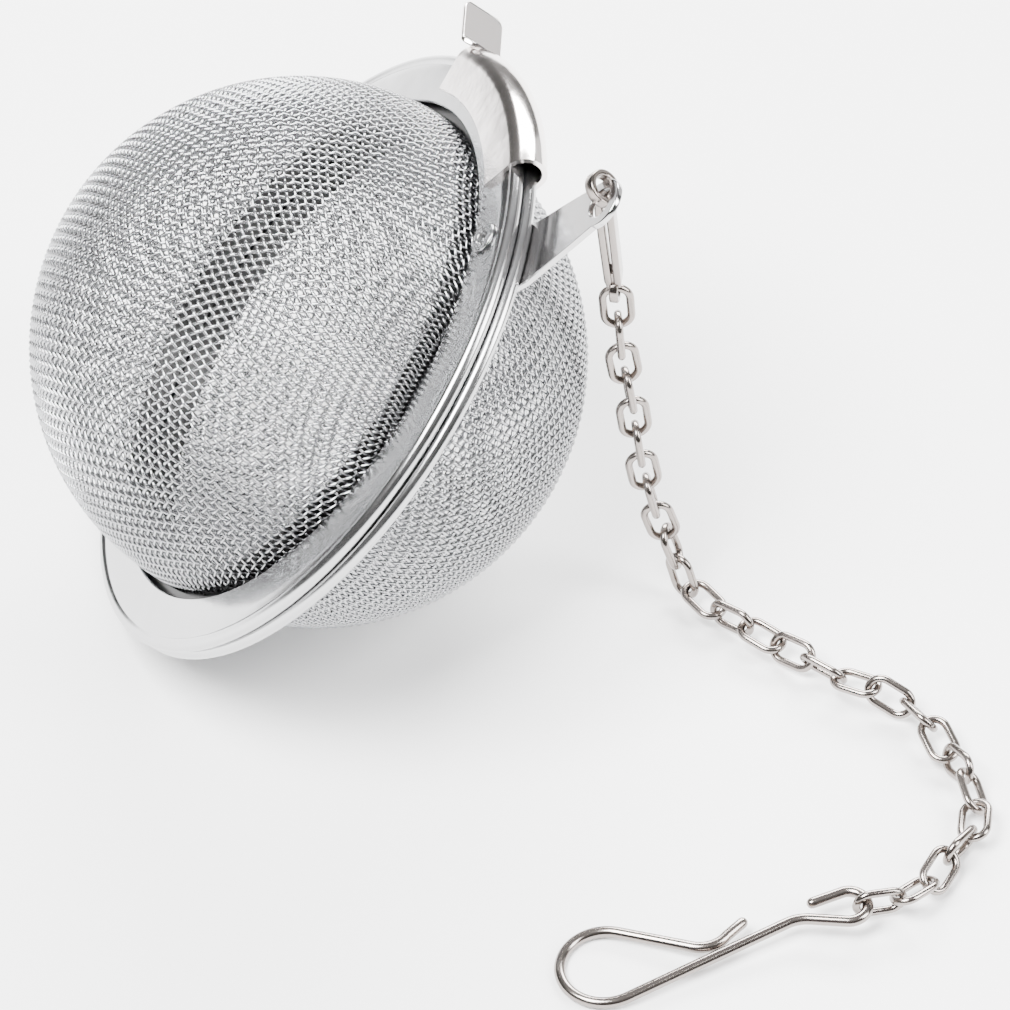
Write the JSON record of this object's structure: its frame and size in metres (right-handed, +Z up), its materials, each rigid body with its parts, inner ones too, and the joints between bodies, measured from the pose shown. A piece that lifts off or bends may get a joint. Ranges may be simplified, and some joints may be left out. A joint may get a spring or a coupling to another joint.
{
  "type": "tea infuser",
  "caption": "Spherical woven-mesh tea infuser whose two halves swivel on a rivet and clip shut, with a hanging chain and a wire hook.",
  "frame": {"origin": "middle of the footprint on the resting surface, below the centre of the overall box", "axes": "+X from the mesh ball towards the chain, +Y from the hook towards the mesh ball, +Z up"},
  "size_m": [0.077, 0.0767, 0.0486],
  "materials": {
    "woven_wire": "satin",
    "rim_steel": "satin",
    "clip_steel": "polished",
    "tab_steel": "polished",
    "chain_wire": "polished"
  },
  "bodies": {
    "base": {"base_mesh_bowl": "woven_wire", "base_rim_ring": "rim_steel", "base_clamp_ring": "rim_steel", "pivot_eyelet": "rim_steel", "chain_tab": "tab_steel"},
    "lid": {"lid_mesh_bowl": "woven_wire", "lid_rim_ring": "rim_steel", "lid_clamp_ring": "rim_steel", "rim_clip": "clip_steel"},
    "strap": {"strap_connector": "chain_wire"},
    "link_01": {"chain_link_01": "chain_wire"},
    "link_02": {"chain_link_02": "chain_wire"},
    "link_03": {"chain_link_03": "chain_wire"},
    "link_04": {"chain_link_04": "chain_wire"},
    "link_05": {"chain_link_05": "chain_wire"},
    "link_06": {"chain_link_06": "chain_wire"},
    "link_07": {"chain_link_07": "chain_wire"},
    "link_08": {"chain_link_08": "chain_wire"},
    "link_09": {"chain_link_09": "chain_wire"},
    "link_10": {"chain_link_10": "chain_wire"},
    "link_11": {"chain_link_11": "chain_wire"},
    "link_12": {"chain_link_12": "chain_wire"},
    "link_13": {"chain_link_13": "chain_wire"},
    "link_14": {"chain_link_14": "chain_wire"},
    "link_15": {"chain_link_15": "chain_wire"},
    "link_16": {"chain_link_16": "chain_wire"},
    "link_17": {"chain_link_17": "chain_wire"},
    "link_18": {"chain_link_18": "chain_wire"},
    "link_19": {"chain_link_19": "chain_wire"},
    "link_20": {"chain_link_20": "chain_wire"},
    "link_21": {"chain_link_21": "chain_wire"},
    "link_22": {"chain_link_22": "chain_wire"},
    "link_23": {"chain_link_23": "chain_wire"},
    "link_24": {"chain_link_24": "chain_wire"},
    "link_25": {"chain_link_25": "chain_wire"},
    "link_26": {"chain_link_26": "chain_wire"},
    "link_27": {"chain_link_27": "chain_wire"},
    "hook": {"cup_hook": "chain_wire"}
  },
  "joints": [
    {"name": "bowl_swivel", "type": "hinge", "parent": "base", "child": "lid", "pos_m": [-0.00073, 0.00468, 0.04], "axis": [0.7599, 0.0265, -0.6494], "range_deg": [0, 40]},
    {"name": "strap_swing", "type": "hinge", "parent": "base", "child": "strap", "pos_m": [0.00728, 0.00334, 0.04701], "axis": [0.6295, -0.2789, 0.7252], "range_deg": [-15, 30]},
    {"name": "chain_link_01_swing", "type": "hinge", "parent": "strap", "child": "link_01", "pos_m": [0.00857, 0.00553, 0.03415], "axis": [0.1498, 0.9722, 0.1802], "range_deg": [-30, 8]},
    {"name": "chain_link_02_swing", "type": "hinge", "parent": "link_01", "child": "link_02", "pos_m": [0.00884, 0.00553, 0.03109], "axis": [-0.9962, 0, -0.0871], "range_deg": [-30, 30]},
    {"name": "chain_link_03_swing", "type": "hinge", "parent": "link_02", "child": "link_03", "pos_m": [0.00911, 0.00558, 0.028], "axis": [-0.0378, 0.9987, 0.0331], "range_deg": [-30, 15]},
    {"name": "chain_link_04_swing", "type": "hinge", "parent": "link_03", "child": "link_04", "pos_m": [0.00961, 0.00569, 0.02494], "axis": [-0.9624, -0.2222, -0.1562], "range_deg": [-30, 30]},
    {"name": "chain_link_05_swing", "type": "hinge", "parent": "link_04", "child": "link_05", "pos_m": [0.01009, 0.00578, 0.02188], "axis": [0.174, -0.9847, -0.0024], "range_deg": [-30, 30]},
    {"name": "chain_link_06_swing", "type": "hinge", "parent": "link_05", "child": "link_06", "pos_m": [0.01051, 0.00586, 0.01881], "axis": [0.9721, 0.189, 0.1387], "range_deg": [-30, 30]},
    {"name": "chain_link_07_swing", "type": "hinge", "parent": "link_06", "child": "link_07", "pos_m": [0.01094, 0.00592, 0.01574], "axis": [-0.1064, 0.9942, 0.0132], "range_deg": [-30, 30]},
    {"name": "chain_link_08_swing", "type": "hinge", "parent": "link_07", "child": "link_08", "pos_m": [0.01158, 0.00603, 0.01271], "axis": [-0.9558, -0.1685, -0.2411], "range_deg": [-30, 30]},
    {"name": "chain_link_09_swing", "type": "hinge", "parent": "link_08", "child": "link_09", "pos_m": [0.01232, 0.00609, 0.0097], "axis": [0.0845, -0.9964, 0.0105], "range_deg": [-30, 30]},
    {"name": "chain_link_10_swing", "type": "hinge", "parent": "link_09", "child": "link_10", "pos_m": [0.0133, 0.00614, 0.00676], "axis": [0.9421, 0.0494, 0.3317], "range_deg": [-30, 30]},
    {"name": "chain_link_11_swing", "type": "hinge", "parent": "link_10", "child": "link_11", "pos_m": [0.0143, 0.00573, 0.00386], "axis": [0.2635, 0.9504, -0.1653], "range_deg": [-30, 30]},
    {"name": "chain_link_12_swing", "type": "hinge", "parent": "link_11", "child": "link_12", "pos_m": [0.0157, 0.00456, 0.00187], "axis": [-0.0816, 0.0684, -0.9943], "range_deg": [-30, 30]},
    {"name": "chain_link_13_swing", "type": "hinge", "parent": "link_12", "child": "link_13", "pos_m": [0.01779, 0.00231, 0.00155], "axis": [-0.6405, -0.7677, -0.0203], "range_deg": [-30, 30]},
    {"name": "chain_link_14_swing", "type": "hinge", "parent": "link_13", "child": "link_14", "pos_m": [0.02014, 0.00033, 0.00178], "axis": [0.0401, -0.0337, 0.9986], "range_deg": [-30, 30]},
    {"name": "chain_link_15_swing", "type": "hinge", "parent": "link_14", "child": "link_15", "pos_m": [0.02258, -0.00157, 0.00161], "axis": [-0.6157, -0.788, 0], "range_deg": [-30, 30]},
    {"name": "chain_link_16_swing", "type": "hinge", "parent": "link_15", "child": "link_16", "pos_m": [0.02497, -0.00352, 0.00187], "axis": [-0.3208, -0.3789, -0.8681], "range_deg": [-30, 30]},
    {"name": "chain_link_17_swing", "type": "hinge", "parent": "link_16", "child": "link_17", "pos_m": [0.02747, -0.00535, 0.00182], "axis": [0.3231, 0.3431, -0.882], "range_deg": [-30, 30]},
    {"name": "chain_link_18_swing", "type": "hinge", "parent": "link_17", "child": "link_18", "pos_m": [0.03018, -0.00681, 0.00219], "axis": [-0.4414, -0.8922, 0.0954], "range_deg": [-30, 30]},
    {"name": "chain_link_19_swing", "type": "hinge", "parent": "link_18", "child": "link_19", "pos_m": [0.03286, -0.00815, 0.00141], "axis": [-0.3438, -0.4114, -0.8442], "range_deg": [-30, 30]},
    {"name": "chain_link_20_swing", "type": "hinge", "parent": "link_19", "child": "link_20", "pos_m": [0.03441, -0.01075, 0.00188], "axis": [-0.4385, -0.3654, 0.8211], "range_deg": [-30, 30]},
    {"name": "chain_link_21_swing", "type": "hinge", "parent": "link_20", "child": "link_21", "pos_m": [0.03569, -0.01349, 0.00126], "axis": [-0.8619, -0.4844, -0.1499], "range_deg": [-30, 30]},
    {"name": "chain_link_22_swing", "type": "hinge", "parent": "link_21", "child": "link_22", "pos_m": [0.03686, -0.01619, 0.00179], "axis": [0.273, -0.0926, 0.9575], "range_deg": [-30, 30]},
    {"name": "chain_link_23_swing", "type": "hinge", "parent": "link_22", "child": "link_23", "pos_m": [0.03724, -0.01921, 0.00158], "axis": [-0.7433, 0.1161, 0.6588], "range_deg": [-30, 30]},
    {"name": "chain_link_24_swing", "type": "hinge", "parent": "link_23", "child": "link_24", "pos_m": [0.03641, -0.02213, 0.00148], "axis": [0.7926, -0.5196, 0.3191], "range_deg": [-30, 30]},
    {"name": "chain_link_25_swing", "type": "hinge", "parent": "link_24", "child": "link_25", "pos_m": [0.03454, -0.02455, 0.00177], "axis": [0.038, -0.1441, 0.9888], "range_deg": [-30, 30]},
    {"name": "chain_link_26_swing", "type": "hinge", "parent": "link_25", "child": "link_26", "pos_m": [0.0327, -0.02697, 0.00168], "axis": [0.4966, -0.6673, -0.555], "range_deg": [-30, 30]},
    {"name": "chain_link_27_swing", "type": "hinge", "parent": "link_26", "child": "link_27", "pos_m": [0.03015, -0.02864, 0.00174], "axis": [-0.252, 0.8325, -0.4934], "range_deg": [-30, 30]},
    {"name": "hook_swing", "type": "hinge", "parent": "link_27", "child": "hook", "pos_m": [0.02715, -0.02939, 0.00201], "axis": [-0.0846, -0.0211, -0.9962], "range_deg": [-30, 30]}
  ]
}
